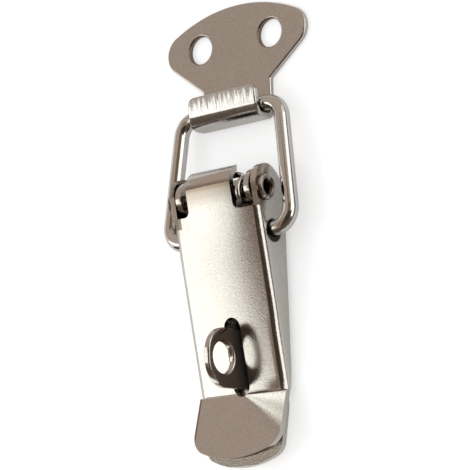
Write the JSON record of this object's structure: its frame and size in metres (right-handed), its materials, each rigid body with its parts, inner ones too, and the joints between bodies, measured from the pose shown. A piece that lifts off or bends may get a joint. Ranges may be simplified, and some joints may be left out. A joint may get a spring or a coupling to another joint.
{
  "type": "over centre toggle latch",
  "caption": "Over centre toggle latch: sprung folded lever on a base plate with padlock staple, wire bail and fan-shaped hooked catch plate.",
  "frame": {"origin": "middle of the base plate's two screw holes, on the mounting plane", "axes": "+Z out of the mounting plane, +Y from the base plate towards the catch plate, X along the rivet"},
  "size_m": [0.034, 0.0889, 0.0127],
  "materials": {
    "stainless_sheet": "bead-tumbled satin stainless sheet",
    "stainless_wire": "bright drawn stainless wire",
    "rivet_steel": "bright rolled stainless rivet",
    "spring_steel": "bright spring wire"
  },
  "bodies": {
    "base": {"base_plate": "stainless_sheet", "padlock_staple": "stainless_sheet", "pivot_rivet": "rivet_steel"},
    "lever": {"lever": "stainless_sheet", "torsion_spring": "spring_steel"},
    "bail": {"wire_bail": "stainless_wire"},
    "catch": {"catch_plate": "stainless_sheet"}
  },
  "joints": [
    {"name": "lever_pivot", "type": "hinge", "parent": "base", "child": "lever", "pos_m": [0, 0.014, 0.00704], "axis": [-1, 0, 0], "range_deg": [0, 120], "stiffness_Nm_per_rad": 0.1, "springref_deg": -20.05},
    {"name": "bail_pivot", "type": "hinge", "parent": "lever", "child": "bail", "pos_m": [0, 0.00655, 0.00475], "axis": [-1, 0, 0], "range_deg": [-96, 0]},
    {"name": "catch_on_bail", "type": "hinge", "parent": "bail", "child": "catch", "pos_m": [0, 0.031, 0.003], "axis": [-1, 0, 0], "range_deg": [-24.5, 0]}
  ],
  "couplings": [
    {"joint": "bail_pivot", "follows": "lever_pivot", "ratio": -0.7979},
    {"joint": "catch_on_bail", "follows": "lever_pivot", "ratio": -0.2021}
  ]
}
